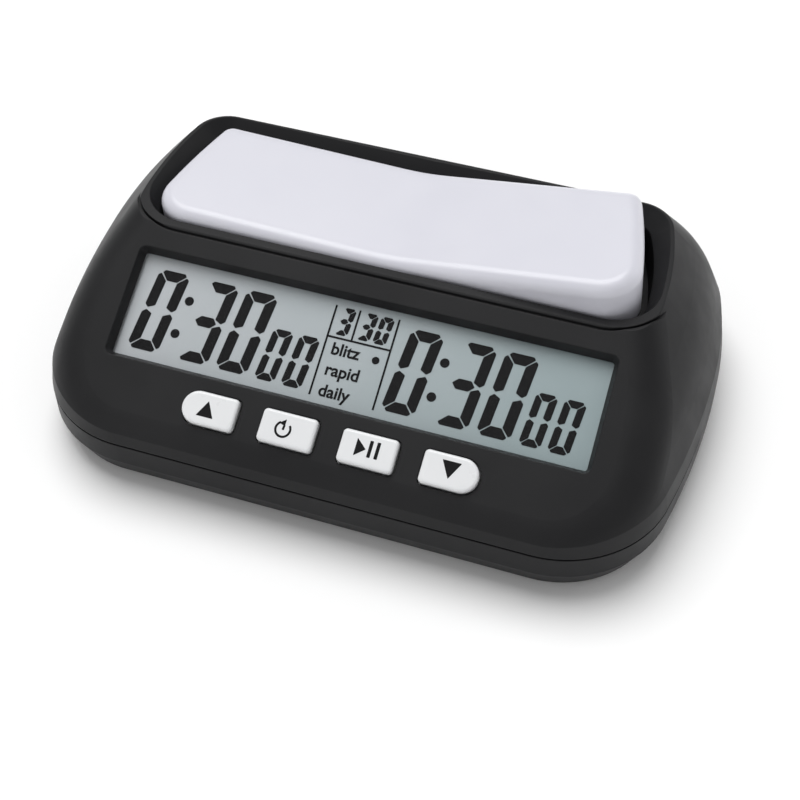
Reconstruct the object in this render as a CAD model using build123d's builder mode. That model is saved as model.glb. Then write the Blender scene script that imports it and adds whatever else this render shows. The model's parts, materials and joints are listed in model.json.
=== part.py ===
"""A two-player chess clock: a low wedge case with a sloping display panel and a rocker along its crest.

Millimetres. +X runs to the right-hand player, +Y to the back, +Z up. The origin is on the table,
under the middle of the case. The clock is modelled with its rocker tipped down on the left.
"""

from build123d import *
from math import asin, atan, cos, degrees, radians, sin, tan
import os

# ---- Case outline in plan
half_length = 75.0
half_depth = 49.0
front_corner_r = 25.0
back_corner_r = 22.5
side_bow_r = 187.0
back_bow_r = 100.0
widest_y = 7.0

# ---- Case heights
foot_height = 1.2
bevel_top_z = 6.9
seam_z = 12.8
seam_gap = 0.5
crease_z = 17.8
rim_z = 39.2

# ---- Case slopes and walls
bevel_inset = 2.5
crease_inset = 0.8
shoulder_mid_z = 28.5
low_shoulder_lean = 22.0
high_shoulder_lean = 40.0
shoulder_blend_r = 36.0
panel_tilt = 26.6
lip_y = -5.4
panel_blend_r = 11.0
wall = 2.2
floor_wall = 2.0
panel_wall = 2.35
tongue_height = 2.0
tongue_inset = 1.25

# ---- Rocker well
land = 1.0
front_land = 1.7
well_corner_r = 11.0
rim_groove_at = 2.55
rim_groove_width = 0.6
rim_groove_z = 38.25
ledge_z = 35.8
ledge_width = 2.7
ledge_corner_r = 9.2
ledge_bow_r = 60.0
well_floor_z = 27.0
well_floor = 1.4
well_draft = 0.3
tub_wall = 1.3

# ---- Rocker
rocker_range = 6.8
rest_tip = rocker_range / 2
wing_rise = 5.05
pivot_y = 12.5
pivot_z = 32.5
rocker_front_y = -3.0
rocker_back_y = 30.4
rocker_front_half = 57.2
rocker_back_half = 50.4
rocker_bow_r = 168.0
rocker_front_r = 8.5
rocker_back_r = 3.2
rocker_top = 7.1
rocker_skirt = 0.9
rocker_wall = 1.8
bend_r = 60.0
top_round = 3.0
hub_r = 3.6
pin_r = 1.5
hub_y = (3.0, 22.0)
hub_gap = 0.5
hub_web = 2.4
post_thick = 3.0
snap_squeeze = 0.25
running_gap = 0.05
magnet_x = 38.0
magnet_r = 3.0
magnet_thick = 2.0
magnet_rim = 1.2
magnet_drop = 0.4
catch_r = 4.0
catch_seat_r = 4.4
catch_thick = 0.8
catch_gap = 0.25
stop_x = 46.0
stop_r = 2.5
stop_gap = 0.08
rib = 1.6
sensor_board_size = (92.0, 13.0)
sensor_board_thick = 1.2
sensor_boss_r = 3.0
sensor_boss_height = 2.4
sensor_screw_r = 0.9
sensor_head_r = 1.8
sensor_head = 1.1
reed_r = 1.0
reed_length = 12.0
reed_pad = (1.6, 0.6)

# ---- Display
view_width = 108.3
view_height = 24.1
view_v = -19.06
view_bevel = 1.05
view_corner_r = 0.6
window_thick = 0.8
window_margin = 2.0
cell_gap = 0.15
cell_thick = 2.4
cell_width = 113.0
cell_height = 27.6
frame_side = 1.3
frame_top_v = -4.8
cell_play = 0.05
strip_wide = 1.6
strip_short = 3.0
board_depth = 7.5
board_thick = 1.4
board_width = 116.0
board_top_v = -6.2
board_low_v = -45.3
board_corner_r = 2.0
board_ear_r = 3.4

# ---- Keys
key_pitch = 18.12
key_width = 12.4
key_height = 7.4
key_v = -39.0
key_proud = 1.5
key_travel = 1.0
key_gap = 0.35
key_flange = 0.7
key_flange_thick = 0.8
key_flange_drop = 0.9
key_corner_r = 1.0
key_top_round = 0.7
mat_depth = 6.5
mat_height = 9.4
dome_depth = 4.4
dome_r = 3.2
dome_lean = 14.0
key_names = ["key_up", "key_mode", "key_play", "key_down"]

# ---- Battery bay and door
cell_r = 7.1
cell_body = 49.5
cell_nub = 1.0
cell_nub_r = 2.75
contact_size = 11.0
contact_tab = 2.6
contact_tab_z = 15.0
spring_wire_r = 0.35
spring_r = 3.2
spring_turns = 4
bay_half_x = 29.6
bay_y = (5.2, 36.0)
bay_top_z = 18.4
bay_wall = 1.5
battery_y = (12.9, 28.3)
battery_z = 10.5
door_half_x = 32.0
door_front_y = 3.2
door_thick = 1.8
door_gap = 0.15
door_rail = 1.05
door_rail_z = 0.6
door_rail_thick = 0.6
door_rail_length = 32.0
door_rail_y = 24.0
door_bridge = 1.6
door_bridge_y = 9.0
grip_width = 24.0
grip_rib = 0.8
grip_pitch = 1.8
grip_y = 38.0
grip_deep = 0.3
plate = 0.4

# ---- Power switch and buzzer
switch_x = -46.0
switch_y = 14.0
switch_travel = 3.0
switch_recess = (15.0, 8.0)
switch_slot = (9.0, 3.8)
switch_post_x = 11.0
switch_post_r = 1.6
switch_post_height = 1.4
switch_length = 25.2
switch_height = 4.6
knob_size = (4.4, 3.2)
knob_plate = (13.0, 6.0)
knob_plate_thick = 0.8
buzzer_x = 48.0
buzzer_y = 14.0
buzzer_r = 11.0
buzzer_height = 3.2
buzzer_rim = 1.2
buzzer_rim_height = 2.0
sound_hole_r = 0.9
sound_ring_r = 4.5

# ---- Fasteners, feet and leads
case_screws_at = [(-63.0, -29.0), (63.0, -29.0), (-62.0, 24.0), (62.0, 24.0)]
boss_r = 3.2
screw_r = 1.3
screw_head_r = 2.6
screw_head = 1.8
screw_seat = 3.4
screw_length = 13.5
screw_bore = 8.5
head_gap = 0.2
board_post_r = 2.3
board_post_bore = 3.2
board_screw_length = 3.0
board_head_r = 2.1
board_head = 1.3
board_posts_at = [(-46.0, -40.5), (46.0, -40.5), (-60.2, -20.0), (60.2, -20.0)]
sensor_screws_at = [(-20.0, pivot_y), (20.0, pivot_y)]
feet_at = {
    "foot_front_left": (-55.0, -36.0),
    "foot_front_right": (55.0, -36.0),
    "foot_back_left": (-55.0, 34.0),
    "foot_back_right": (55.0, 34.0),
}
foot_r = 5.0
foot_sunk = 0.5
foot_round = 0.4
lead_r = 0.6
lead_bend = 2.5
lead_step = 0.9

# ---- How far a cut runs past a face, and a boss runs into its wall
past = 1.0
run_in = 0.5

# ---- Values that follow
lower_top_z = seam_z - seam_gap / 2
upper_base_z = seam_z + seam_gap / 2
tongue_top_z = lower_top_z + tongue_height + seam_gap / 2
plate_top_z = foot_height + floor_wall
boss_low_z = upper_base_z
skirt_lean = degrees(atan(crease_inset / (crease_z - seam_z)))
bevel_lean = degrees(atan(bevel_inset / (bevel_top_z - foot_height)))
mid_inset = crease_inset + (shoulder_mid_z - crease_z) * tan(radians(low_shoulder_lean))
rim_inset = mid_inset + (rim_z - shoulder_mid_z) * tan(radians(high_shoulder_lean))
rim_bow_r = back_bow_r - rim_inset - land
pivot_top_z = pivot_z + hub_r - 0.2
sensor_top_z = well_floor_z - well_floor - sensor_boss_height
sin_tip = sin(radians(rest_tip))
cos_tip = cos(radians(rest_tip))
view_depth = panel_wall
cell_depth = view_depth + window_thick + cell_gap
board_under = board_depth + board_thick

panel = Plane(
    origin=(0, lip_y, rim_z),
    x_dir=(1, 0, 0),
    z_dir=(0, -sin(radians(panel_tilt)), cos(radians(panel_tilt))),
)
rocker_plan = Plane(origin=(0, 0, pivot_z), x_dir=(cos_tip, 0, sin_tip), z_dir=(-sin_tip, 0, cos_tip))
rocker_side = Plane(origin=(0, 0, pivot_z), x_dir=(cos_tip, 0, sin_tip), z_dir=(0, -1, 0))

os.makedirs("parts", exist_ok=True)


def write(builder, name):
    """Labels a finished piece and writes it to its own file."""
    builder.part.label = name
    export_step(builder.part, f"parts/{name}.step")


def above_panel(point):
    """Height of a point over the sloping panel."""
    return panel.to_local_coords(point).Z


def bowed_outline(half_x, front_y, back_y, front_r, back_r, front_bow, back_bow):
    """Closed plan curve: straight front and back, round corners, sides that bow out in two arcs."""
    front_turn = asin((widest_y - front_y - front_r) / (front_bow - front_r))
    back_turn = asin((back_y - back_r - widest_y) / (back_bow - back_r))
    front_end_x = half_x - front_bow + (front_bow - front_r) * cos(front_turn)
    with BuildLine() as outline:
        front = Line((0, front_y), (front_end_x, front_y))
        corner = JernArc(front @ 1, (1, 0), front_r, 90 - degrees(front_turn))
        front_side = JernArc(corner @ 1, corner % 1, front_bow, degrees(front_turn))
        back_side = JernArc(front_side @ 1, front_side % 1, back_bow, degrees(back_turn))
        back_corner = JernArc(back_side @ 1, back_side % 1, back_r, 90 - degrees(back_turn))
        Line(back_corner @ 1, (0, back_y))
        mirror(about=Plane.YZ)
    return outline.line


def case_outline(inset):
    """Plan outline of the case, drawn in by inset all round."""
    return bowed_outline(
        half_length - inset,
        inset - half_depth,
        half_depth - inset,
        front_corner_r - inset,
        back_corner_r - inset,
        side_bow_r - inset,
        back_bow_r - inset,
    )


def well_outline(grow, draw, corner_r, back_bow):
    """Plan outline of the rocker well, grown by grow, with its sides and back drawn in by draw."""
    inset = rim_inset + land + draw - grow
    return bowed_outline(
        half_length - inset,
        lip_y + front_land - grow,
        half_depth - inset,
        corner_r + grow,
        back_corner_r - inset,
        side_bow_r - inset,
        back_bow + grow,
    )


def case_prism(inset, low_z, high_z, lean=0.0):
    """Prism over the case outline, leaning inwards by lean degrees as it rises."""
    with BuildPart() as prism:
        with BuildSketch(Plane.XY.offset(low_z)):
            add(case_outline(inset))
            make_face()
        extrude(amount=high_z - low_z, taper=lean)
    return prism.part


def upper_body(inset, panel_depth, blend_r, high_z):
    """Skirt, domed shoulders and sloping panel as one solid, drawn in by inset."""
    reach = (crease_z - lower_top_z) * tan(radians(low_shoulder_lean))
    with BuildPart() as body:
        add(case_prism(inset + crease_inset - reach, lower_top_z, shoulder_mid_z, low_shoulder_lean))
        add(case_prism(inset + mid_inset, shoulder_mid_z, high_z, high_shoulder_lean))
        waist = [edge for edge in body.edges() if abs((edge @ 0.5).Z - shoulder_mid_z) < 0.001]
        fillet(waist, radius=shoulder_blend_r)
        split(bisect_by=panel.offset(-panel_depth), keep=Keep.BOTTOM)
        below_top = [edge for edge in body.edges() if (edge @ 0.5).Z < high_z - 0.5]
        on_panel = [edge for edge in below_top if abs(above_panel(edge @ 0.5) + panel_depth) < 0.001]
        fillet(on_panel, radius=blend_r)
        add(case_prism(inset, upper_base_z, high_z, skirt_lean), mode=Mode.INTERSECT)
    return body.part


def well_solid(grow, low_z):
    """Solid of the rocker well: steep walls up to a ledge, then a slope out to the rim."""
    levels = [
        (low_z, ledge_width + well_draft, ledge_corner_r - well_draft, ledge_bow_r - well_draft),
        (ledge_z, ledge_width, ledge_corner_r, ledge_bow_r),
        (rim_z, 0, well_corner_r, rim_bow_r),
    ]
    with BuildPart() as well:
        for lower, upper in zip(levels, levels[1:]):
            for level_z, draw, corner_r, back_bow in (lower, upper):
                with BuildSketch(Plane.XY.offset(level_z)):
                    add(well_outline(grow, draw, corner_r, back_bow))
                    make_face()
            loft(ruled=True)
    return well.part


def rim_groove():
    """Shallow groove that follows the rim of the well in front of it, and runs out at the shoulders."""
    with BuildPart() as groove:
        for side, mode in ((1, Mode.ADD), (-1, Mode.SUBTRACT)):
            with BuildSketch(Plane.XY.offset(rim_groove_z)):
                add(well_outline(rim_groove_at + side * rim_groove_width / 2, 0, well_corner_r, rim_bow_r))
                make_face()
            extrude(amount=rim_z - rim_groove_z + past, mode=mode)
    return groove.part


def key_face(index, grow):
    """Outline of one key: a rounded rectangle, with the outer end of the end keys a half round."""
    half_w = key_width / 2 + grow
    half_h = key_height / 2 + grow
    with BuildSketch(mode=Mode.PRIVATE) as face:
        RectangleRounded(2 * half_w, 2 * half_h, key_corner_r + grow)
        if index in (0, 3):
            end = -1 if index == 0 else 1
            with Locations((end * half_w / 2, 0)):
                Rectangle(half_w, 2 * half_h, mode=Mode.SUBTRACT)
            with Locations((end * (half_w - half_h) / 2, 0)):
                Rectangle(half_w - half_h, 2 * half_h)
            with Locations((end * (half_w - half_h), 0)):
                Circle(half_h)
    return face.sketch


def key_x(index):
    """Distance of a key from the middle of the panel."""
    return (index - 1.5) * key_pitch


# ---- Upper case
with BuildPart() as hollow:
    add(upper_body(wall, panel_wall, panel_blend_r - wall, rim_z - wall))
    add(well_solid(tub_wall, well_floor_z - well_floor), mode=Mode.SUBTRACT)

with BuildPart() as inner_posts:
    # Posts for the main board and bosses for the case screws, run up into the wall above them.
    with BuildSketch(panel.offset(-board_depth)):
        with Locations(*board_posts_at):
            Circle(board_post_r)
    extrude(amount=board_depth)
    with BuildSketch(Plane.XY.offset(boss_low_z)):
        with Locations(*case_screws_at):
            Circle(boss_r)
    extrude(amount=rim_z - crease_z)
    add(upper_body(wall / 2, panel_wall / 2, panel_blend_r - wall / 2, rim_z - wall), mode=Mode.INTERSECT)

with BuildPart() as upper_case:
    add(upper_body(0, 0, panel_blend_r, rim_z))
    add(hollow.part, mode=Mode.SUBTRACT)
    add(well_solid(0, well_floor_z), mode=Mode.SUBTRACT)
    add(rim_groove(), mode=Mode.SUBTRACT)
    add(case_prism(tongue_inset - running_gap, seam_z, tongue_top_z), mode=Mode.SUBTRACT)
    # Display opening with bevelled walls.
    with BuildSketch(panel.offset(-view_depth)):
        with Locations((0, view_v)):
            RectangleRounded(view_width, view_height, view_corner_r)
    extrude(amount=2 * view_depth, taper=-degrees(atan(view_bevel / view_depth)), mode=Mode.SUBTRACT)
    # Key openings.
    with BuildSketch(panel):
        for index in range(len(key_names)):
            with Locations((key_x(index), key_v)):
                add(key_face(index, key_gap))
    extrude(amount=panel_wall + past, both=True, mode=Mode.SUBTRACT)
    # Bosses and posts, with their pilot holes.
    add(inner_posts.part)
    with BuildSketch(panel.offset(-board_depth)):
        with Locations(*board_posts_at):
            Circle(screw_r)
    extrude(amount=board_post_bore, mode=Mode.SUBTRACT)
    with BuildSketch(Plane.XY.offset(boss_low_z)):
        with Locations(*case_screws_at):
            Circle(screw_r)
    extrude(amount=screw_bore, mode=Mode.SUBTRACT)
    # Pivot posts, with a snap-in slot above the pin.
    with BuildSketch(Plane.XY.offset(well_floor_z)):
        for post_y in (hub_y[0] - hub_gap - post_thick / 2, hub_y[1] + hub_gap + post_thick / 2):
            with Locations((0, post_y)):
                Rectangle(2 * hub_r, post_thick)
    extrude(amount=pivot_top_z - well_floor_z)
    with BuildSketch(Plane.XZ.offset(-hub_y[1] - 2 * post_thick)):
        with Locations((0, pivot_z)):
            Circle(pin_r)
        with Locations((0, pivot_z + hub_r / 2)):
            Rectangle(2 * (pin_r - snap_squeeze), hub_r)
    extrude(amount=hub_y[1] + 3 * post_thick, mode=Mode.SUBTRACT)
    # Seats for the steel catch plates.
    catch_z = pivot_z - (magnet_x + magnet_r + magnet_rim) * sin_tip - magnet_drop * cos_tip - catch_gap
    with BuildSketch(Plane.XY.offset(well_floor_z)):
        with Locations((-magnet_x, pivot_y), (magnet_x, pivot_y)):
            Circle(catch_seat_r)
    extrude(amount=catch_z - catch_thick - well_floor_z)
    # Bosses for the sensor board, under the well floor.
    with BuildSketch(Plane.XY.offset(sensor_top_z)):
        with Locations(*sensor_screws_at):
            Circle(sensor_boss_r)
            Circle(sensor_screw_r, mode=Mode.SUBTRACT)
    extrude(amount=sensor_boss_height)
write(upper_case, "upper_case")

# ---- Lower case
with BuildPart() as lower_outer:
    add(case_prism(bevel_inset, foot_height, bevel_top_z, -bevel_lean))
    add(case_prism(0, bevel_top_z, lower_top_z))

with BuildPart() as lower_case:
    add(lower_outer.part)
    add(case_prism(wall + bevel_inset - run_in, plate_top_z, bevel_top_z, -bevel_lean), mode=Mode.SUBTRACT)
    add(case_prism(wall, bevel_top_z, lower_top_z), mode=Mode.SUBTRACT)
    # Tongue that the upper case sits on.
    with BuildSketch(Plane.XY.offset(bevel_top_z + past)):
        add(case_outline(tongue_inset))
        make_face()
        add(make_face(case_outline(wall).edges(), mode=Mode.PRIVATE), mode=Mode.SUBTRACT)
    extrude(amount=tongue_top_z - bevel_top_z - past)
    # Battery bay, and a thicker strip that bridges the door behind it.
    with BuildSketch(Plane.XY.offset(foot_height + door_thick + door_gap)):
        with Locations((0, sum(bay_y) / 2)):
            Rectangle(2 * (bay_half_x + bay_wall), bay_y[1] - bay_y[0] + 2 * bay_wall)
    extrude(amount=bay_top_z + bay_wall - foot_height - door_thick - door_gap)
    with BuildSketch(Plane.XY.offset(foot_height + door_thick + door_gap)):
        with Locations((0, bay_y[1] + door_bridge_y / 2 - run_in)):
            Rectangle(2 * door_half_x + 4 * past, door_bridge_y)
    extrude(amount=door_bridge)
    with BuildSketch(Plane.XY.offset(foot_height - past)):
        with Locations((0, sum(bay_y) / 2)):
            Rectangle(2 * bay_half_x, bay_y[1] - bay_y[0])
    extrude(amount=bay_top_z - foot_height + past, mode=Mode.SUBTRACT)
    # Channel for the door, open at the back, with a groove along each side.
    with BuildSketch(Plane.XY.offset(foot_height - past)):
        with Locations((0, (door_front_y + half_depth + past) / 2)):
            Rectangle(2 * door_half_x, half_depth + past - door_front_y)
    extrude(amount=door_thick + door_gap + past, mode=Mode.SUBTRACT)
    with BuildSketch(Plane.XY.offset(foot_height + door_rail_z - running_gap)):
        with Locations((0, (door_front_y + half_depth + past) / 2)):
            Rectangle(2 * (door_half_x + door_rail + door_gap), half_depth + past - door_front_y)
    extrude(amount=door_rail_thick + 2 * running_gap, mode=Mode.SUBTRACT)
    # Screw columns, bored through and counterbored from below.
    with BuildSketch(Plane.XY.offset(plate_top_z - run_in)):
        with Locations(*case_screws_at):
            Circle(boss_r)
    extrude(amount=boss_low_z - plate_top_z + run_in)
    with BuildSketch(Plane.XY.offset(foot_height - past)):
        with Locations(*case_screws_at):
            Circle(screw_r)
    extrude(amount=boss_low_z + past, mode=Mode.SUBTRACT)
    with BuildSketch(Plane.XY.offset(foot_height - past)):
        with Locations(*case_screws_at):
            Circle(screw_head_r + head_gap)
    extrude(amount=screw_seat + past, mode=Mode.SUBTRACT)
    # Seats for the feet.
    with BuildSketch(Plane.XY.offset(foot_height - past)):
        with Locations(*feet_at.values()):
            Circle(foot_r)
    extrude(amount=past + foot_sunk, mode=Mode.SUBTRACT)
    # Recess and slot for the power switch, and the posts that carry its body.
    with BuildSketch(Plane.XY.offset(foot_height - past)):
        with Locations((switch_x, switch_y)):
            RectangleRounded(*switch_recess, 1.5)
    extrude(amount=past + 0.8, mode=Mode.SUBTRACT)
    with BuildSketch(Plane.XY.offset(foot_height - past)):
        with Locations((switch_x, switch_y)):
            RectangleRounded(*switch_slot, 0.8)
    extrude(amount=floor_wall + 2 * past, mode=Mode.SUBTRACT)
    with BuildSketch(Plane.XY.offset(plate_top_z)):
        with Locations((switch_x - switch_post_x, switch_y), (switch_x + switch_post_x, switch_y)):
            Circle(switch_post_r)
    extrude(amount=switch_post_height)
    # Sound holes and the ring that holds the buzzer.
    with BuildSketch(Plane.XY.offset(foot_height - past)):
        with Locations((buzzer_x, buzzer_y)):
            with PolarLocations(sound_ring_r, 6):
                Circle(sound_hole_r)
            Circle(sound_hole_r)
    extrude(amount=floor_wall + 2 * past, mode=Mode.SUBTRACT)
    with BuildSketch(Plane.XY.offset(plate_top_z)):
        with Locations((buzzer_x, buzzer_y)):
            Circle(buzzer_r + buzzer_rim)
            Circle(buzzer_r, mode=Mode.SUBTRACT)
    extrude(amount=buzzer_rim_height)
    # Slots in the bay wall for the terminal tabs.
    with BuildSketch(Plane.XY.offset(contact_tab_z - 2 * running_gap)):
        with Locations(*[(-bay_half_x - bay_wall / 2, y) for y in battery_y]):
            Rectangle(bay_wall + past, contact_tab + plate)
    extrude(amount=plate + 4 * running_gap, mode=Mode.SUBTRACT)
write(lower_case, "lower_case")

# ---- Battery door, cut from the underside of the case
with BuildPart() as battery_door:
    add(lower_outer.part)
    with BuildSketch(Plane.XY.offset(foot_height)):
        with Locations((0, (door_front_y + door_gap + half_depth) / 2)):
            Rectangle(2 * (door_half_x - door_gap), half_depth - door_front_y - door_gap)
    extrude(amount=door_thick, mode=Mode.INTERSECT)
    with BuildSketch(Plane.XY.offset(foot_height + door_rail_z)):
        with Locations((0, door_rail_y)):
            Rectangle(2 * (door_half_x + door_rail), door_rail_length)
    extrude(amount=door_rail_thick)
    with BuildSketch(Plane.XY.offset(foot_height)):
        with Locations((0, grip_y)):
            with GridLocations(1, grip_pitch, 1, 5):
                Rectangle(grip_width, grip_rib)
    extrude(amount=grip_deep, mode=Mode.SUBTRACT)
write(battery_door, "battery_door")


# ---- Rocker
def rocker_plan_face(inset):
    """Plan of the rocker: wide at the front, narrower at the back, with bowed ends and rounded corners."""
    front_half, back_half = rocker_front_half - inset, rocker_back_half - inset
    front_y, back_y = rocker_front_y + inset, rocker_back_y - inset
    with BuildSketch(mode=Mode.PRIVATE) as plan:
        with BuildLine():
            Line((-front_half, front_y), (front_half, front_y))
            RadiusArc((front_half, front_y), (back_half, back_y), -rocker_bow_r + inset)
            Line((back_half, back_y), (-back_half, back_y))
            RadiusArc((-back_half, back_y), (-front_half, front_y), -rocker_bow_r + inset)
        make_face()
        fillet(plan.vertices().group_by(Axis.Y)[0], radius=rocker_front_r - inset)
        fillet(plan.vertices().group_by(Axis.Y)[-1], radius=rocker_back_r - inset)
    return plan.sketch


def gull_solid(drop, inset):
    """Rocker volume with its top lowered by drop and its sides drawn in by inset."""
    reach = rocker_front_half + 1
    wing_top = rocker_top - drop + reach * tan(radians(wing_rise))
    with BuildPart() as gull:
        with BuildSketch(rocker_side.offset(-rocker_back_y - 1)) as profile:
            with BuildLine():
                Polyline(
                    (0, rocker_top - drop),
                    (reach, wing_top),
                    (reach, -rocker_skirt - inset),
                    (-reach, -rocker_skirt - inset),
                    (-reach, wing_top),
                    close=True,
                )
            make_face()
            fillet(profile.vertices().sort_by(lambda vertex: abs(vertex.X) + abs(vertex.Z))[0], radius=bend_r)
        extrude(amount=rocker_back_y - rocker_front_y + 2)
        with BuildSketch(rocker_plan):
            add(rocker_plan_face(inset))
        extrude(amount=2 * pivot_z, both=True, mode=Mode.INTERSECT)
    return gull.part


with BuildPart() as rocker_fittings:
    # Hub round the pin, hung from the top on a web.
    with BuildSketch(rocker_side.offset(-hub_y[1])):
        Circle(hub_r)
        with Locations((0, hub_r + 1)):
            Rectangle(hub_web, 3)
    extrude(amount=hub_y[1] - hub_y[0])
    # Long rib from wing to wing.
    with BuildSketch(rocker_plan.offset(hub_r + 0.6)):
        with Locations((0, pivot_y)):
            Rectangle(2 * stop_x, rib)
    extrude(amount=2 * rocker_top)
    # Cross ribs that come down on the stop pads.
    with BuildSketch(rocker_plan.offset(-rocker_skirt)):
        with Locations((-stop_x, pivot_y), (stop_x, pivot_y)):
            Rectangle(rib, 2 * half_depth)
    extrude(amount=2 * rocker_top)
    # Bosses that hold the magnets.
    with BuildSketch(rocker_plan.offset(-magnet_drop)):
        with Locations((-magnet_x, pivot_y), (magnet_x, pivot_y)):
            Circle(magnet_r + magnet_rim)
    extrude(amount=2 * rocker_top)
    add(gull_solid(rocker_wall / 2, rocker_wall / 2), mode=Mode.INTERSECT)

with BuildPart() as rocker_cap:
    add(gull_solid(0, 0))
    top_edges = [
        edge
        for edge in rocker_cap.edges()
        if rocker_plan.to_local_coords(edge @ 0.5).Z > rocker_top - 0.5 and abs((edge % 0.5).Y) < 0.999
    ]
    fillet(top_edges, radius=top_round)
    add(gull_solid(rocker_wall + 0.4, rocker_wall), mode=Mode.SUBTRACT)
    add(rocker_fittings.part)
    with BuildSketch(rocker_side.offset(-hub_y[1] - 1)):
        Circle(pin_r + running_gap)
    extrude(amount=hub_y[1] - hub_y[0] + 2, mode=Mode.SUBTRACT)
    with BuildSketch(rocker_plan.offset(-magnet_drop)):
        with Locations((-magnet_x, pivot_y), (magnet_x, pivot_y)):
            Circle(magnet_r)
    extrude(amount=magnet_thick, mode=Mode.SUBTRACT)
write(rocker_cap, "rocker_cap")

with BuildPart() as rocker_magnets:
    with BuildSketch(rocker_plan.offset(-magnet_drop)):
        with Locations((-magnet_x, pivot_y), (magnet_x, pivot_y)):
            Circle(magnet_r)
    extrude(amount=magnet_thick)
write(rocker_magnets, "rocker_magnets")

with BuildPart() as rocker_pin:
    with BuildSketch(Plane.XZ.offset(-hub_y[1] - hub_gap - post_thick)):
        with Locations((0, pivot_z)):
            Circle(pin_r)
    extrude(amount=hub_y[1] - hub_y[0] + 2 * (hub_gap + post_thick))
    chamfer(rocker_pin.edges(), length=0.3)
write(rocker_pin, "rocker_pin")

with BuildPart() as catch_plates:
    with BuildSketch(Plane.XY.offset(catch_z - catch_thick)):
        with Locations((-magnet_x, pivot_y), (magnet_x, pivot_y)):
            Circle(catch_r)
    extrude(amount=catch_thick)
write(catch_plates, "catch_plates")

with BuildPart() as stop_pads:
    stop_z = pivot_z - (stop_x + rib / 2) * sin_tip - rocker_skirt * cos_tip - stop_gap
    with BuildSketch(Plane.XY.offset(well_floor_z)):
        with Locations((-stop_x, pivot_y), (stop_x, pivot_y)):
            Circle(stop_r)
    extrude(amount=stop_z - well_floor_z)
write(stop_pads, "stop_pads")

# ---- Rocker sensors
with BuildPart() as sensor_board:
    with BuildSketch(Plane.XY.offset(sensor_top_z - sensor_board_thick)):
        with Locations((0, pivot_y)):
            RectangleRounded(*sensor_board_size, 1.0)
        with Locations(*sensor_screws_at):
            Circle(sensor_screw_r, mode=Mode.SUBTRACT)
    extrude(amount=sensor_board_thick)
write(sensor_board, "sensor_board")

for side, switch_name in ((-1, "reed_switch_left"), (1, "reed_switch_right")):
    with BuildPart() as reed_switch:
        with BuildSketch(Plane.YZ.offset(side * magnet_x - reed_length / 2)):
            with Locations((pivot_y, sensor_top_z + reed_r)):
                Circle(reed_r)
        extrude(amount=reed_length)
        fillet(reed_switch.edges(), radius=0.6 * reed_r)
        with BuildSketch(Plane.XY.offset(sensor_top_z)):
            with Locations((side * magnet_x, pivot_y)):
                with GridLocations(1.1 * reed_length, 1, 2, 1):
                    Rectangle(*reed_pad)
        extrude(amount=1.2 * reed_r)
    write(reed_switch, switch_name)

with BuildPart() as sensor_screws:
    with BuildSketch(Plane.XY.offset(sensor_top_z - sensor_board_thick - sensor_head)):
        with Locations(*sensor_screws_at):
            Circle(sensor_head_r)
    extrude(amount=sensor_head)
    with BuildSketch(Plane.XY.offset(sensor_top_z - sensor_board_thick)):
        with Locations(*sensor_screws_at):
            Circle(sensor_screw_r)
    extrude(amount=sensor_board_thick + sensor_boss_height - 0.2)
write(sensor_screws, "sensor_screws")

# ---- Display stack, under the panel
with BuildPart() as display_window:
    with BuildSketch(panel.offset(-view_depth - window_thick)):
        with Locations((0, view_v)):
            Rectangle(view_width + 2 * window_margin, view_height + 2 * window_margin)
    extrude(amount=window_thick)
write(display_window, "display_window")

with BuildPart() as lcd_cell:
    with BuildSketch(panel.offset(-cell_depth - cell_thick)):
        with Locations((0, view_v)):
            Rectangle(cell_width, cell_height)
    extrude(amount=cell_thick)
write(lcd_cell, "lcd_cell")

frame_low_v = view_v - cell_height / 2 - frame_side
with BuildPart() as lcd_frame:
    with BuildSketch(panel.offset(-board_depth)):
        with Locations((0, (frame_top_v + frame_low_v) / 2)):
            Rectangle(cell_width + 2 * frame_side, frame_top_v - frame_low_v)
        with Locations((0, view_v)):
            Rectangle(cell_width + 2 * cell_play, cell_height + 2 * cell_play, mode=Mode.SUBTRACT)
    extrude(amount=board_depth - view_depth - window_thick)
write(lcd_frame, "lcd_frame")

with BuildPart() as contact_strips:
    with BuildSketch(panel.offset(-board_depth)):
        for side in (-1, 1):
            with Locations((0, view_v + side * (cell_height / 2 - 1.3))):
                Rectangle(cell_width - 2 * strip_short, strip_wide)
    extrude(amount=board_depth - cell_depth - cell_thick)
write(contact_strips, "contact_strips")

# ---- Main board and what it carries
with BuildPart() as main_board:
    with BuildSketch(panel.offset(-board_under)):
        with Locations((0, (board_top_v + board_low_v) / 2)):
            RectangleRounded(board_width, board_top_v - board_low_v, board_corner_r)
        with Locations(*board_posts_at):
            Circle(board_ear_r)
        with Locations(*board_posts_at):
            Circle(screw_r, mode=Mode.SUBTRACT)
    extrude(amount=board_thick)
write(main_board, "main_board")

with BuildPart() as board_screws:
    with BuildSketch(panel.offset(-board_under - board_head)):
        with Locations(*board_posts_at):
            Circle(board_head_r)
    extrude(amount=board_head)
    with BuildSketch(panel.offset(-board_under)):
        with Locations(*board_posts_at):
            Circle(screw_r)
    extrude(amount=board_thick + board_screw_length)
write(board_screws, "board_screws")

with BuildPart() as controller:
    with BuildSketch(panel.offset(-board_under)):
        with Locations((0, -22)):
            Circle(6.0)
    extrude(amount=-1.6)
    fillet(controller.edges().group_by(Axis.Z)[0], radius=1.2)
write(controller, "controller")

with BuildPart() as crystal:
    with BuildSketch(panel.offset(-board_under)):
        with Locations((13, -20)):
            SlotOverall(8, 3)
    extrude(amount=-3.0)
write(crystal, "crystal")

with BuildPart() as capacitors:
    with BuildSketch(panel.offset(-board_under)):
        with Locations((-14, -18), (-14, -25)):
            Circle(2.0)
    extrude(amount=-5.0)
write(capacitors, "capacitors")

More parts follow.
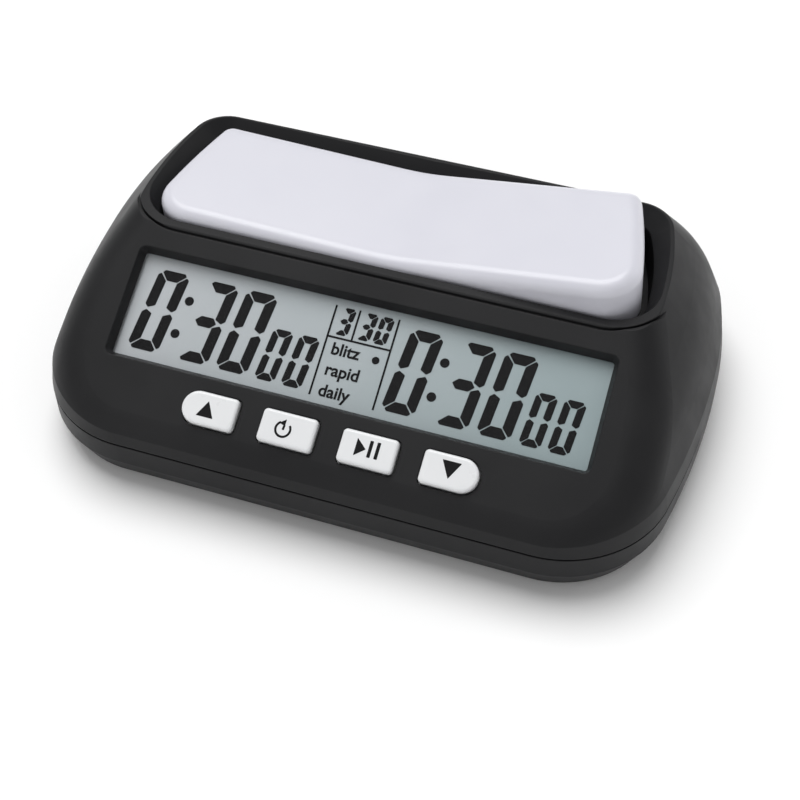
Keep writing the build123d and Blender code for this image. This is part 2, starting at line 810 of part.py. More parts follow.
# ---- Key mat and keys
with BuildPart() as key_mat:
    with BuildSketch(panel.offset(-board_depth)):
        with Locations((0, key_v - 0.3)):
            RectangleRounded(len(key_names) * key_pitch, mat_height, 1.5)
    extrude(amount=board_depth - mat_depth)
    with BuildSketch(panel.offset(-mat_depth)):
        for index in range(len(key_names)):
            with Locations((key_x(index), key_v)):
                Circle(dome_r)
    extrude(amount=mat_depth - dome_depth, taper=dome_lean)
write(key_mat, "key_mat")

for index, key_name in enumerate(key_names):
    with BuildPart() as key:
        with BuildSketch(panel.offset(-panel_wall - key_flange_drop)):
            with Locations((key_x(index), key_v)):
                add(key_face(index, key_flange))
        extrude(amount=key_flange_thick)
        with BuildSketch(panel.offset(-panel_wall - key_flange_drop)):
            with Locations((key_x(index), key_v)):
                add(key_face(index, 0))
        extrude(amount=panel_wall + key_flange_drop + key_proud)
        top_face = key.faces().sort_by(lambda face: above_panel(face.center()))[-1]
        fillet(top_face.edges(), radius=key_top_round)
    write(key, key_name)

# ---- Batteries and their contacts
for direction, cell_y, cell_name in ((1, battery_y[0], "battery_front"), (-1, battery_y[1], "battery_back")):
    contact_x = direction * (bay_half_x - plate)
    with BuildPart() as battery:
        with BuildSketch(Plane.YZ.offset(contact_x)):
            with Locations((cell_y, battery_z)):
                Circle(cell_nub_r)
        extrude(amount=-direction * cell_nub)
        with BuildSketch(Plane.YZ.offset(contact_x - direction * cell_nub)):
            with Locations((cell_y, battery_z)):
                Circle(cell_r)
        extrude(amount=-direction * cell_body)
    write(battery, cell_name)

with BuildPart() as link_contact:
    with BuildSketch(Plane.YZ.offset(bay_half_x - plate)):
        with Locations((sum(battery_y) / 2, battery_z)):
            Rectangle(battery_y[1] - battery_y[0] + contact_size, contact_size)
    extrude(amount=plate)
write(link_contact, "link_contact")

with BuildPart() as terminal_contacts:
    with BuildSketch(Plane.YZ.offset(-bay_half_x)):
        with Locations(*[(y, battery_z) for y in battery_y]):
            Rectangle(contact_size, contact_size)
    extrude(amount=plate)
    with BuildSketch(Plane.XY.offset(contact_tab_z)):
        with Locations(*[(-bay_half_x - bay_wall / 2 - 0.7, y) for y in battery_y]):
            Rectangle(bay_wall + 2.2, contact_tab)
    extrude(amount=plate)
write(terminal_contacts, "terminal_contacts")

spring_gap = 2 * bay_half_x - 2 * plate - cell_nub - cell_body
for direction, cell_y, spring_name in (
    (1, battery_y[0], "battery_spring_front"),
    (-1, battery_y[1], "battery_spring_back"),
):
    spring_x = -direction * (bay_half_x - plate - spring_wire_r - 0.02)
    spring_length = spring_gap - 2 * (spring_wire_r + 0.02)
    with BuildPart() as battery_spring:
        with BuildLine():
            coil = Helix(
                pitch=spring_length / spring_turns,
                height=spring_length,
                radius=spring_r,
                center=(spring_x, cell_y, battery_z),
                direction=(direction, 0, 0),
            )
        with BuildSketch(Plane(origin=coil @ 0, z_dir=coil % 0)):
            Circle(spring_wire_r)
        sweep()
    write(battery_spring, spring_name)

# ---- Power switch
switch_plate_z = plate_top_z + 0.1
with BuildPart() as power_switch:
    with BuildSketch(Plane.XY.offset(plate_top_z + switch_post_height)):
        with Locations((switch_x, switch_y)):
            Rectangle(switch_length, switch_recess[1])
    extrude(amount=1.0)
    with BuildSketch(Plane.XY.offset(plate_top_z + switch_post_height)):
        with Locations((switch_x, switch_y)):
            Rectangle(*switch_recess)
    extrude(amount=switch_height)
    with BuildSketch(Plane.XY.offset(plate_top_z + switch_post_height)):
        with Locations((switch_x, switch_y)):
            Rectangle(switch_travel + 3.4, 2.8)
    extrude(amount=2.4, mode=Mode.SUBTRACT)
write(power_switch, "power_switch")

knob_x = switch_x - switch_travel / 2
with BuildPart() as power_switch_knob:
    with BuildSketch(Plane.XY.offset(foot_height + 0.15)):
        with Locations((knob_x, switch_y)):
            RectangleRounded(*knob_size, 0.6)
    extrude(amount=floor_wall)
    with BuildSketch(Plane.XY.offset(foot_height + 0.15)):
        with Locations((knob_x, switch_y)):
            with GridLocations(1.4, 1, 3, 1):
                Rectangle(0.5, knob_size[1])
    extrude(amount=0.25, mode=Mode.SUBTRACT)
    with BuildSketch(Plane.XY.offset(switch_plate_z)):
        with Locations((knob_x, switch_y)):
            Rectangle(*knob_plate)
    extrude(amount=knob_plate_thick)
    with BuildSketch(Plane.XY.offset(switch_plate_z)):
        with Locations((knob_x, switch_y)):
            Rectangle(2.4, 2.2)
    extrude(amount=3.0)
write(power_switch_knob, "power_switch_knob")

# ---- Buzzer
with BuildPart() as buzzer:
    with BuildSketch(Plane.XY.offset(plate_top_z)):
        with Locations((buzzer_x, buzzer_y)):
            Circle(buzzer_r)
    extrude(amount=buzzer_height)
    fillet(buzzer.edges().group_by(Axis.Z)[-1], radius=0.6)
write(buzzer, "buzzer")


# ---- Leads
def lead(route, radius):
    """Round insulated wire along straight runs joined by arcs."""
    with BuildPart() as wire:
        with BuildLine():
            path = FilletPolyline(*route, radius=radius)
        with BuildSketch(Plane(origin=path @ 0, z_dir=path % 0)):
            Circle(lead_r)
        sweep()
    return wire.part


def below_board(u, v, drop):
    """Point a little way below the underside of the main board, square to it."""
    return panel.from_local_coords(Vector(u, v, -board_under - drop))


tab_z = contact_tab_z + plate + lead_r
lead_routes = {
    "battery_lead_red": [
        (-31.6, battery_y[0], tab_z),
        (-37.0, battery_y[0], tab_z),
        (-37.0, -9.0, 14.0),
        below_board(-30, -20, 5),
        below_board(-30, -20, 0),
    ],
    "battery_lead_black": [
        (-31.6, battery_y[1], tab_z),
        (-40.5, battery_y[1], tab_z),
        (-40.5, -10.0, 11.5),
        below_board(-25, -24, 6),
        below_board(-25, -24, 0),
    ],
}
for lead_name, route in lead_routes.items():
    with BuildPart() as battery_lead:
        add(lead(route, lead_bend))
    write(battery_lead, lead_name)

with BuildPart() as buzzer_leads:
    for step in (-lead_step, lead_step):
        start = (buzzer_x + step, buzzer_y - 5, plate_top_z + buzzer_height)
        above = (buzzer_x + step, buzzer_y - 5, plate_top_z + 7.5)
        add(lead([start, above, below_board(34 + step, -20, 6), below_board(34 + step, -20, 0)], lead_bend))
write(buzzer_leads, "buzzer_leads")

with BuildPart() as switch_leads:
    for step in (-lead_step, lead_step):
        lead_x = switch_x + step
        start = (lead_x, switch_y, plate_top_z + switch_post_height + switch_height)
        above = (lead_x, switch_y, plate_top_z + 10.5)
        add(lead([start, above, below_board(lead_x, -20, 6), below_board(lead_x, -20, 0)], lead_bend))
write(switch_leads, "switch_leads")

with BuildPart() as sensor_leads:
    for step in (-1.4, 0, 1.4):
        edge = (8 + step, pivot_y - 6.5, sensor_top_z - lead_r)
        ahead = (8 + step, pivot_y - 11, sensor_top_z - lead_r)
        add(lead([edge, ahead, below_board(8 + step, -14, 5), below_board(8 + step, -14, 0)], 1.2))
write(sensor_leads, "sensor_leads")

# ---- Case screws and feet
with BuildPart() as case_screws:
    with BuildSketch(Plane.XY.offset(foot_height + screw_seat - screw_head)):
        with Locations(*case_screws_at):
            Circle(screw_head_r)
    extrude(amount=screw_head)
    with BuildSketch(Plane.XY.offset(foot_height + screw_seat - screw_head)):
        with Locations(*case_screws_at):
            Rectangle(3.0, 0.6)
            Rectangle(0.6, 3.0)
    extrude(amount=screw_head / 2, mode=Mode.SUBTRACT)
    with BuildSketch(Plane.XY.offset(foot_height + screw_seat)):
        with Locations(*case_screws_at):
            Circle(screw_r)
    extrude(amount=screw_length)
write(case_screws, "case_screws")

for foot_name, foot_centre in feet_at.items():
    with BuildPart() as foot:
        with BuildSketch():
            with Locations(foot_centre):
                Circle(foot_r)
        extrude(amount=foot_height + foot_sunk)
        fillet(foot.edges().group_by(Axis.Z)[0], radius=foot_round)
    write(foot, foot_name)
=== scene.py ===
"""Looks of a two-player chess clock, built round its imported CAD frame.

Everything is in metres, +X to the right-hand player, +Y to the back, +Z up. Sizes below are in
millimetres and become metres through MM. Display marks are laid out on the face of the display cell:
u runs right, v runs up the slope, and both start from the middle of the cell.
"""
import json
import math

import bmesh
import bpy
from mathutils import Matrix, Vector


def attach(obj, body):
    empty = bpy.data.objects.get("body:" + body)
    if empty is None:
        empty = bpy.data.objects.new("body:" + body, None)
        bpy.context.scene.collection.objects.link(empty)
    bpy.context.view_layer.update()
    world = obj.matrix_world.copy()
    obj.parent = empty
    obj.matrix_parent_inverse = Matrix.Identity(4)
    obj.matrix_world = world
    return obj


MM = 0.001
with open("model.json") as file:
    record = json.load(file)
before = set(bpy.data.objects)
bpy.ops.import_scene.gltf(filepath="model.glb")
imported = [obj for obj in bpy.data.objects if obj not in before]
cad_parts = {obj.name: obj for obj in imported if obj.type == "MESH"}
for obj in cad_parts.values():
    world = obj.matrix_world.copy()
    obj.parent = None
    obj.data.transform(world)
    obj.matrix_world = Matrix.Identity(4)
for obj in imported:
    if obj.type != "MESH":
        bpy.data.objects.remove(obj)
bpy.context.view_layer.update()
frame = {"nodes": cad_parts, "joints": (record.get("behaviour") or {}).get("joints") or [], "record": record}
scene = bpy.context.scene
scene.view_settings.view_transform = "Standard"

# ---- Camera: angles in degrees, lens and sensor in millimetres, shift in sensor widths
TARGET = Vector((-0.5 * MM, 0, 20 * MM))
AZIMUTH, ELEVATION, ROLL = 19.43, 46.33, -0.993
DISTANCE = 362.6 * MM
LENS, SENSOR_WIDTH = 70.98, 36.0
SHIFT = (0.0166, -0.1047)

# ---- Display layout, millimetres from the middle of the cell
SLANT = 0.095
BIG_DIGIT = {"width": 7.5, "height": 19.2, "stroke": 2.4}
SMALL_DIGIT = {"width": 4.75, "height": 12.0, "stroke": 1.65}
SETUP_DIGIT = {"width": 3.05, "height": 6.4, "stroke": 1.2}
DIGIT_LOW = -9.75
# Half-width of the painted light gradient across the display face, in millimetres
PAINTED_LIGHT_HALF_WIDTH = 60
GROUP_STARTS = {"left": -51.0, "right": 8.93}
BIG_OFFSETS = (0.0, 11.95, 21.3)
SMALL_OFFSETS = (30.3, 36.5)
COLON_OFFSET = 9.56
COLON_V = (3.61, -4.37)
COLON_R = 1.05
RULE_WIDTH = 0.44
RULE_TOP, RULE_LOW = 10.7, -10.3
RULE_U = (-8.03, 6.55)
CROSS_V = 3.42
SPLIT_U = -2.5
SETUP_LOW = 4.15
SETUP_U = {-6.55: "3", -1.4: "3", 2.3: "0"}
WORDS = {-0.35: "blitz", -5.15: "rapid", -10.0: "daily"}
WORD_U = -6.3
WORD_SIZE = 3.85
WORD_WEIGHT = 0.09
MODE_DOT = (4.0, 0.5, 0.85)
INK_THICK = 0.05
LEGEND_THICK = 0.03
LEGEND_ROUND = 0.15
FACE_LIFT = 0.01

# ---- Stage and light: lengths in metres; the glow runs between two heights of the view direction
FLOOR_HALF = 3.0
AIM = (0, 0, 0.02)
OVERHEAD, HORIZON = 0.38, 1.0
GLOW_LOW, GLOW_HIGH = 0.02, 0.3

SEGMENTS = {"0": "abcdef", "3": "abcdg"}


def group(name):
    """Nodes of the CAD frame that the record gives one material slot."""
    return [part["node"] for part in frame["record"]["subparts"] if part["material_slot"] == name]


# ---- Where the panel lies, read from the frame
def joint_axis(name):
    """Axis of one joint, as a vector."""
    return Vector(next(joint["axis"] for joint in frame["joints"] if joint["name"] == name))


PANEL_OUT = -joint_axis("key_up_press").normalized()
PANEL_U = Vector((1, 0, 0))
PANEL_V = PANEL_OUT.cross(PANEL_U)


def panel_extent(node):
    """Middle of a node across and along the panel, and its top above the panel's origin, in metres."""
    points = [vertex.co for vertex in frame["nodes"][node].data.vertices]
    across = [point.dot(PANEL_U) for point in points]
    along = [point.dot(PANEL_V) for point in points]
    above = [point.dot(PANEL_OUT) for point in points]
    return (min(across) + max(across)) / 2, (min(along) + max(along)) / 2, max(above)


def panel_matrix(node, lift=0.0):
    """Frame whose XY plane is the outer face of a node that lies along the panel."""
    across, along, above = panel_extent(node)
    origin = PANEL_U * across + PANEL_V * along + PANEL_OUT * (above + lift)
    axes = Matrix((PANEL_U, PANEL_V, PANEL_OUT)).transposed().to_4x4()
    return Matrix.Translation(origin) @ axes


# ---- Flat marks
def rounded(points, radius, steps=3):
    """Polygon with each corner replaced by a short curve."""
    out = []
    for index, corner in enumerate(points):
        before = Vector(points[index - 1]) - Vector(corner)
        after = Vector(points[(index + 1) % len(points)]) - Vector(corner)
        cut = min(radius, before.length * 0.4, after.length * 0.4)
        start = Vector(corner) + before.normalized() * cut
        end = Vector(corner) + after.normalized() * cut
        for step in range(steps + 1):
            t = step / steps
            out.append((1 - t) ** 2 * start + 2 * t * (1 - t) * Vector(corner) + t * t * end)
    return out


def ellipse(u, v, radius, steps=40):
    """Round dot as a polygon."""
    turn = 2 * math.pi / steps
    return [(u + radius * math.cos(turn * i), v + radius * math.sin(turn * i)) for i in range(steps)]


def bar(u0, v0, u1, v1, width):
    """Straight rule between two points."""
    along = (Vector((u1, v1)) - Vector((u0, v0))).normalized() * width / 2
    side = Vector((-along.y, along.x))
    start, end = Vector((u0, v0)), Vector((u1, v1))
    return [start + side, start - side, end - side, end + side]


def ink(name, polygons, matrix, material, body, thick=INK_THICK):
    """One printed piece: polygons in millimetres, raised by a hair above the plane of matrix."""
    mesh = bpy.data.meshes.new(name)
    shape = bmesh.new()
    for polygon in polygons:
        low = [shape.verts.new((u * MM, v * MM, 0)) for u, v in polygon]
        high = [shape.verts.new((u * MM, v * MM, thick * MM)) for u, v in polygon]
        shape.faces.new(low[::-1])
        shape.faces.new(high)
        for i in range(len(low)):
            j = (i + 1) % len(low)
            shape.faces.new((low[i], low[j], high[j], high[i]))
    bmesh.ops.recalc_face_normals(shape, faces=shape.faces)
    shape.to_mesh(mesh)
    shape.free()
    piece = bpy.data.objects.new(name, mesh)
    scene.collection.objects.link(piece)
    piece.matrix_world = matrix
    mesh.materials.append(material)
    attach(piece, body)
    return piece


def digit(character, left, low, width, height, stroke):
    """Polygons of one seven-segment digit, slanted about its own mid height."""
    w, h, t, mid = width, height, stroke, height / 2
    cut, gap = 0.5 * t, 0.06 * t
    tip, shoulder = 0.1 * t, 0.42 * t
    shapes = {
        "a": [(cut + gap, h), (w - cut - gap, h), (w - cut / 2 - 1.6 * gap, h - cut / 2),
              (w - t - gap, h - t), (t + gap, h - t), (cut / 2 + 1.6 * gap, h - cut / 2)],
        "b": [(w, h - cut - gap), (w, mid + shoulder), (w - 0.35 * t, mid + tip), (w - t, mid + shoulder),
              (w - t, h - t - gap), (w - cut / 2, h - cut / 2 - 1.6 * gap)],
        "g": [(0.28 * t, mid), (0.75 * t, mid + t / 2), (w - 1.2 * t, mid + t / 2), (w - 0.75 * t, mid),
              (w - 1.2 * t, mid - t / 2), (0.75 * t, mid - t / 2)],
    }
    shapes["d"] = [(u, h - v) for u, v in shapes["a"]]
    shapes["c"] = [(u, h - v) for u, v in shapes["b"]]
    shapes["f"] = [(w - u, v) for u, v in shapes["b"]]
    shapes["e"] = [(w - u, h - v) for u, v in shapes["b"]]
    out = []
    for name in SEGMENTS[character]:
        corners = [(left + u + SLANT * (v - mid), low + v) for u, v in shapes[name]]
        out.append(rounded(corners, 0.08 * t))
    return out


def time_group(start):
    """Hours, minutes and small seconds of one player's time."""
    shapes = []
    for offset, character in zip(BIG_OFFSETS, "030"):
        shapes += digit(character, start + offset, DIGIT_LOW, **BIG_DIGIT)
    for offset in SMALL_OFFSETS:
        shapes += digit("0", start + offset, DIGIT_LOW, **SMALL_DIGIT)
    middle = DIGIT_LOW + BIG_DIGIT["height"] / 2
    for v in COLON_V:
        shapes.append(ellipse(start + COLON_OFFSET + SLANT * (v - middle), v, COLON_R))
    return shapes


def text_piece(name, words, u, v, size, matrix, material, body):
    """Small printed word, as a mesh a hair thick."""
    curve = bpy.data.curves.new(name, "FONT")
    curve.body = words
    curve.size = size * MM
    curve.offset = WORD_WEIGHT * MM
    curve.extrude = INK_THICK / 2 * MM
    curve.resolution_u = 6
    letters = bpy.data.objects.new(name, curve)
    scene.collection.objects.link(letters)
    bpy.context.view_layer.update()
    mesh = bpy.data.meshes.new_from_object(letters)
    bpy.data.objects.remove(letters)
    mesh.name = name
    piece = bpy.data.objects.new(name, mesh)
    scene.collection.objects.link(piece)
    piece.matrix_world = matrix @ Matrix.Translation((u * MM, v * MM, INK_THICK / 2 * MM))
    mesh.materials.clear()
    mesh.materials.append(material)
    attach(piece, body)
    return piece


# ---- Materials
def new_material(name, color, roughness, metallic=0.0):
    """Material with one Principled shader, and the shader and node tree to build on."""
    material = bpy.data.materials.new(name)
    material.use_nodes = True
    tree = material.node_tree
    shader = tree.nodes["Principled BSDF"]
    shader.inputs["Base Color"].default_value = (*color, 1.0)
    shader.inputs["Roughness"].default_value = roughness
    shader.inputs["Metallic"].default_value = metallic
    return material, tree, shader


def noise(tree, scale, detail=2.0, stretch=(1, 1, 1)):
    """Noise over the object's own coordinates; scale is in cycles per metre."""
    place = tree.nodes.new("ShaderNodeTexCoord")
    mapping = tree.nodes.new("ShaderNodeMapping")
    mapping.inputs["Scale"].default_value = stretch
    texture = tree.nodes.new("ShaderNodeTexNoise")
    texture.inputs["Scale"].default_value = scale
    texture.inputs["Detail"].default_value = detail
    tree.links.new(place.outputs["Object"], mapping.inputs["Vector"])
    tree.links.new(mapping.outputs["Vector"], texture.inputs["Vector"])
    return texture.outputs["Fac"]


def spread(tree, value, low, high):
    """Maps noise from its usual middle range to low..high."""
    node = tree.nodes.new("ShaderNodeMapRange")
    node.inputs["From Min"].default_value = 0.3
    node.inputs["From Max"].default_value = 0.7
    node.inputs["To Min"].default_value = low
    node.inputs["To Max"].default_value = high
    tree.links.new(value, node.inputs["Value"])
    return node.outputs["Result"]


def two_tones(tree, shader, value, first, second):
    """Base colour that drifts between two close tones."""
    node = tree.nodes.new("ShaderNodeMix")
    node.data_type = "RGBA"
    node.inputs["A"].default_value = (*first, 1.0)
    node.inputs["B"].default_value = (*second, 1.0)
    tree.links.new(value, node.inputs["Factor"])
    tree.links.new(node.outputs["Result"], shader.inputs["Base Color"])


def bump(tree, shader, value, height_mm, edge_mm=0.0):
    """Bump of a real height, over a normal softened along edges by edge_mm."""
    node = tree.nodes.new("ShaderNodeBump")
    node.inputs["Distance"].default_value = height_mm * MM
    node.inputs["Strength"].default_value = 1.0
    tree.links.new(value, node.inputs["Height"])
    if edge_mm:
        soft = tree.nodes.new("ShaderNodeBevel")
        soft.samples = 6
        soft.inputs["Radius"].default_value = edge_mm * MM
        tree.links.new(soft.outputs["Normal"], node.inputs["Normal"])
    tree.links.new(node.outputs["Normal"], shader.inputs["Normal"])


def moulded(name, first, second, roughness, grain, height_mm, edge_mm, coat=0.0, specular=0.5):
    """Moulded plastic: two close tones, uneven gloss and a fine moulded texture."""
    material, tree, shader = new_material(name, first, roughness)
    shader.inputs["Specular IOR Level"].default_value = specular
    two_tones(tree, shader, spread(tree, noise(tree, 38), 0, 1), first, second)
    rough = spread(tree, noise(tree, 150, 4), roughness - 0.04, roughness + 0.05)
    tree.links.new(rough, shader.inputs["Roughness"])
    shader.inputs["Coat Weight"].default_value = coat
    shader.inputs["Coat Roughness"].default_value = 0.15
    bump(tree, shader, noise(tree, grain, 2), height_mm, edge_mm)
    return material


def metal(name, color, roughness, stretch=(1, 1, 1)):
    """Plain metal with fine lines or mottling in its gloss."""
    material, tree, shader = new_material(name, color, roughness, 1.0)
    lines = noise(tree, 900, 3, stretch)
    tree.links.new(spread(tree, lines, roughness - 0.08, roughness + 0.1), shader.inputs["Roughness"])
    bump(tree, shader, lines, 0.004, 0.1)
    return material


def display_face():
    """Pale grey-green face of the display, faintly uneven, with painted light: paler towards its left end
    and darker towards its right.
    """
    pale, deep = (0.565, 0.595, 0.62), (0.33, 0.415, 0.43)
    material, tree, shader = new_material("display_face", pale, 0.5)
    place = tree.nodes.new("ShaderNodeTexCoord")
    split = tree.nodes.new("ShaderNodeSeparateXYZ")
    tree.links.new(place.outputs["Object"], split.inputs["Vector"])
    # Painted light: the face runs from its pale tone at the left end to its deep tone at the right, along
    # the cell's own X
    painted_light_drift = tree.nodes.new("ShaderNodeMapRange")
    painted_light_drift.inputs["From Min"].default_value = -PAINTED_LIGHT_HALF_WIDTH * MM
    painted_light_drift.inputs["From Max"].default_value = PAINTED_LIGHT_HALF_WIDTH * MM
    tree.links.new(split.outputs["X"], painted_light_drift.inputs["Value"])
    uneven = tree.nodes.new("ShaderNodeMath")
    uneven.operation = "ADD"
    tree.links.new(painted_light_drift.outputs["Result"], uneven.inputs[0])
    tree.links.new(spread(tree, noise(tree, 22, 3), -0.12, 0.12), uneven.inputs[1])
    two_tones(tree, shader, uneven.outputs["Value"], pale, deep)
    bump(tree, shader, noise(tree, 9000, 1), 0.002)
    return material


def clear_plastic():
    """Clear window: nearly invisible, with a faint gloss."""
    material, tree, shader = new_material("clear_window", (0.05, 0.05, 0.05), 0.08)
    shader.inputs["Alpha"].default_value = 0.05
    bump(tree, shader, noise(tree, 120, 2), 0.01)
    return material


def circuit_board():
    """Green solder mask with copper tracks just showing."""
    first, second = (0.02, 0.11, 0.05), (0.03, 0.17, 0.07)
    material, tree, shader = new_material("circuit_board", first, 0.35)
    tracks = noise(tree, 700, 0, (1, 0.15, 0.15))
    two_tones(tree, shader, spread(tree, tracks, 0, 1), first, second)
    bump(tree, shader, tracks, 0.03)
    return material


SHELL_TONES = (0.0145, 0.0145, 0.0155), (0.019, 0.019, 0.020)
ROCKER_TONES = (0.645, 0.645, 0.71), (0.665, 0.665, 0.725)
KEY_TONES = (0.755, 0.765, 0.78), (0.78, 0.79, 0.80)
MOULDING_TONES = (0.02, 0.02, 0.02), (0.025, 0.025, 0.025)
PACKAGE_TONES = (0.015, 0.015, 0.015), (0.02, 0.02, 0.02)
SEGMENT_TONES = (0.004, 0.004, 0.005), (0.006, 0.006, 0.007)
LEGEND_TONES = (0.005, 0.005, 0.006), (0.008, 0.008, 0.008)
BLACK = moulded("black_shell", *SHELL_TONES, 0.42, 5200, 0.006, 0.35, 0.0, 0.14)
MATERIALS = {
    "black_shell": BLACK,
    "door_shell": BLACK,
    "white_rocker": moulded("white_rocker", *ROCKER_TONES, 0.34, 3000, 0.002, 0.3, 0.15),
    "white_key": moulded("white_key", *KEY_TONES, 0.3, 3000, 0.002, 0.25, 0.2),
    "clear_window": clear_plastic(),
    "lcd_glass": display_face(),
    "black_moulding": moulded("black_moulding", *MOULDING_TONES, 0.5, 4000, 0.006, 0.2),
    "grey_elastomer": moulded("grey_elastomer", (0.2, 0.2, 0.21), (0.24, 0.24, 0.25), 0.75, 2500, 0.01, 0.2),
    "circuit_board": circuit_board(),
    "component_black": moulded("component_black", *PACKAGE_TONES, 0.35, 2500, 0.01, 0.3),
    "steel": metal("steel", (0.6, 0.6, 0.61), 0.3, (1, 8, 8)),
    "nickel": metal("nickel", (0.68, 0.66, 0.6), 0.28),
    "screw_steel": metal("screw_steel", (0.42, 0.42, 0.43), 0.38),
    "rubber_pad": moulded("rubber_pad", (0.02, 0.02, 0.02), (0.03, 0.03, 0.03), 0.85, 2200, 0.02, 0.3),
    "cell_jacket": moulded("cell_jacket", (0.13, 0.36, 0.08), (0.15, 0.4, 0.1), 0.3, 1500, 0.003, 0.3, 0.4),
    "lead_red": moulded("lead_red", (0.5, 0.02, 0.02), (0.56, 0.03, 0.03), 0.5, 2500, 0.005, 0.1),
    "lead_black": moulded("lead_black", (0.02, 0.02, 0.02), (0.025, 0.025, 0.025), 0.5, 2500, 0.005, 0.1),
}
for slot_name, slot_material in MATERIALS.items():
    for node_name in group(slot_name):
        mesh = frame["nodes"][node_name].data
        mesh.materials.clear()
        mesh.materials.append(slot_material)

SEGMENT_INK = moulded("segment_ink", *SEGMENT_TONES, 0.45, 4000, 0.002, 0.0, 0.0, 0.1)
LEGEND_INK = moulded("legend_ink", *LEGEND_TONES, 0.45, 3500, 0.003, 0.0, 0.0, 0.12)

# ---- Display marks
FACE = panel_matrix("lcd_cell", FACE_LIFT * MM)
for side, start in GROUP_STARTS.items():
    ink(f"time_{side}", time_group(start), FACE, SEGMENT_INK, "case")
setup_shapes = []
for left, character in SETUP_U.items():
    setup_shapes += digit(character, left, SETUP_LOW, **SETUP_DIGIT)
ink("setup_digits", setup_shapes, FACE, SEGMENT_INK, "case")
rules = [bar(u, RULE_LOW, u, RULE_TOP, RULE_WIDTH) for u in RULE_U]
rules.append(bar(RULE_U[0], CROSS_V, RULE_U[1], CROSS_V, RULE_WIDTH))
rules.append(bar(SPLIT_U, CROSS_V, SPLIT_U, RULE_TOP, RULE_WIDTH))
rules.append(ellipse(*MODE_DOT))
ink("display_rules", rules, FACE, SEGMENT_INK, "case")
for baseline, word in WORDS.items():
    text_piece(f"word_{word}", word, WORD_U, baseline, WORD_SIZE, FACE, SEGMENT_INK, "case")


# ---- Key legends, millimetres from the middle of each key
def arc_band(radius, width, start_deg, end_deg, steps=36):
    """Open ring from one angle to another."""
    outer, inner = [], []
    for step in range(steps + 1):
        turn = math.radians(start_deg + (end_deg - start_deg) * step / steps)
        outer.append((math.cos(turn) * (radius + width / 2), math.sin(turn) * (radius + width / 2)))
        inner.append((math.cos(turn) * (radius - width / 2), math.sin(turn) * (radius - width / 2)))
    return outer + inner[::-1]


def shifted(shape, du, dv=0.0):
    """Polygon moved across the key."""
    return [(u + du, v + dv) for u, v in shape]


LEGENDS = {
    "key_up": [shifted([(-1.95, -1.85), (1.95, -1.85), (0, 1.75)], -0.4)],
    "key_mode": [
        shifted(arc_band(1.65, 0.5, 120, 400), -0.85, -0.15),
        shifted([(-1.15, 1.2), (0.25, 2.3), (0.25, 0.75)], -0.85, -0.15),
        shifted(bar(0, -0.15, 0.1, 1.0, 0.5), -0.85, -0.15),
    ],
    "key_play": [
        [(-2.65, -1.8), (-0.35, 0.1), (-2.65, 2.1)],
        bar(0.55, -1.5, 0.55, 2.2, 0.75),
        bar(2.15, -1.5, 2.15, 2.2, 0.75),
    ],
    "key_down": [[(-2.1, 2.2), (0, -1.6), (2.1, 2.2)]],
}
for key, shapes in LEGENDS.items():
    softened = [rounded(shape, LEGEND_ROUND) for shape in shapes]
    ink(f"legend_{key}", softened, panel_matrix(key), LEGEND_INK, key, LEGEND_THICK)


# ---- Stage, light and camera
def stage_floor():
    """Pale matt floor far wider than the view."""
    material, tree, shader = new_material("floor_matt", (0.97, 0.97, 0.97), 0.9)
    bump(tree, shader, noise(tree, 500, 2), 0.02)
    mesh = bpy.data.meshes.new("floor")
    corners = [(-FLOOR_HALF, -FLOOR_HALF, 0), (FLOOR_HALF, -FLOOR_HALF, 0)]
    corners += [(FLOOR_HALF, FLOOR_HALF, 0), (-FLOOR_HALF, FLOOR_HALF, 0)]
    mesh.from_pydata(corners, [], [(0, 1, 2, 3)])
    mesh.materials.append(material)
    floor = bpy.data.objects.new("floor", mesh)
    scene.collection.objects.link(floor)


def area_light(name, place, aim, size, watts):
    """Square soft box, aimed at a point."""
    light = bpy.data.lights.new(name, "AREA")
    light.shape = "SQUARE"
    light.size = size
    light.energy = watts
    lamp = bpy.data.objects.new(name, light)
    scene.collection.objects.link(lamp)
    lamp.location = place
    lamp.rotation_euler = (Vector(aim) - Vector(place)).to_track_quat("-Z", "Y").to_euler()


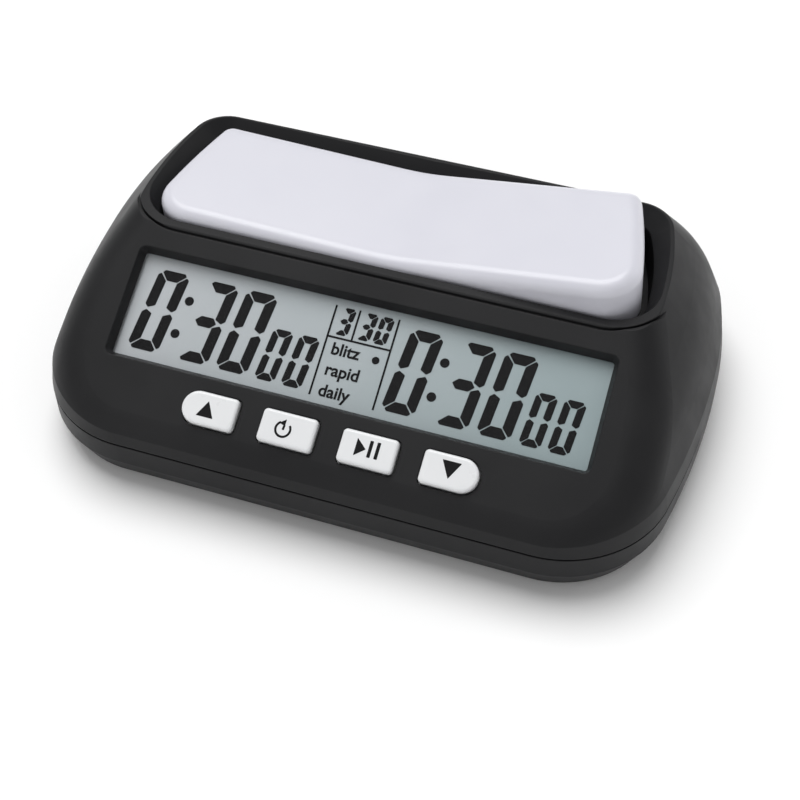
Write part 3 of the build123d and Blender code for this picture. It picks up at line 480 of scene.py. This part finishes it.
def broad_sun(name, place, width_deg, strength):
    """Wide soft source far away in the direction of place, so the whole floor gets the same light."""
    light = bpy.data.lights.new(name, "SUN")
    light.angle = math.radians(width_deg)
    light.energy = strength
    lamp = bpy.data.objects.new(name, light)
    scene.collection.objects.link(lamp)
    lamp.location = place
    lamp.rotation_euler = (-Vector(place)).to_track_quat("-Z", "Y").to_euler()


def world_light(overhead, horizon):
    """White surroundings, brightest low down, where they meet the floor."""
    world = bpy.data.worlds.new("surroundings")
    world.use_nodes = True
    tree = world.node_tree
    background = tree.nodes["Background"]
    background.inputs["Color"].default_value = (1, 1, 1, 1)
    place = tree.nodes.new("ShaderNodeTexCoord")
    split = tree.nodes.new("ShaderNodeSeparateXYZ")
    level = tree.nodes.new("ShaderNodeMapRange")
    level.inputs["From Min"].default_value = GLOW_LOW
    level.inputs["From Max"].default_value = GLOW_HIGH
    level.inputs["To Min"].default_value = horizon
    level.inputs["To Max"].default_value = overhead
    tree.links.new(place.outputs["Generated"], split.inputs["Vector"])
    tree.links.new(split.outputs["Z"], level.inputs["Value"])
    tree.links.new(level.outputs["Result"], background.inputs["Strength"])
    scene.world = world


def place_camera():
    """Camera above the front right, looking down on the panel."""
    azimuth, elevation, roll = (math.radians(value) for value in (AZIMUTH, ELEVATION, ROLL))
    back = Vector((
        math.sin(azimuth) * math.cos(elevation),
        -math.cos(azimuth) * math.cos(elevation),
        math.sin(elevation),
    ))
    right = Vector((math.cos(azimuth), math.sin(azimuth), 0))
    up = back.cross(right)
    rolled_right = right * math.cos(roll) + up * math.sin(roll)
    rolled_up = up * math.cos(roll) - right * math.sin(roll)
    lens = bpy.data.cameras.new("camera")
    lens.lens = LENS
    lens.sensor_width = SENSOR_WIDTH
    lens.shift_x, lens.shift_y = SHIFT
    lens.clip_start = 0.01
    camera = bpy.data.objects.new("camera", lens)
    scene.collection.objects.link(camera)
    axes = Matrix((rolled_right, rolled_up, back)).transposed().to_4x4()
    camera.matrix_world = Matrix.Translation(TARGET + back * DISTANCE) @ axes
    scene.camera = camera


stage_floor()
world_light(OVERHEAD, HORIZON)
broad_sun("main_light", (-0.35, 0.45, 1.4), 45, 2.2)
area_light("front_soft_box", (-0.5, -0.9, 0.6), AIM, 0.8, 1.2)
area_light("back_soft_box", (1.1, 0.9, 0.6), AIM, 0.6, 1.5)
place_camera()
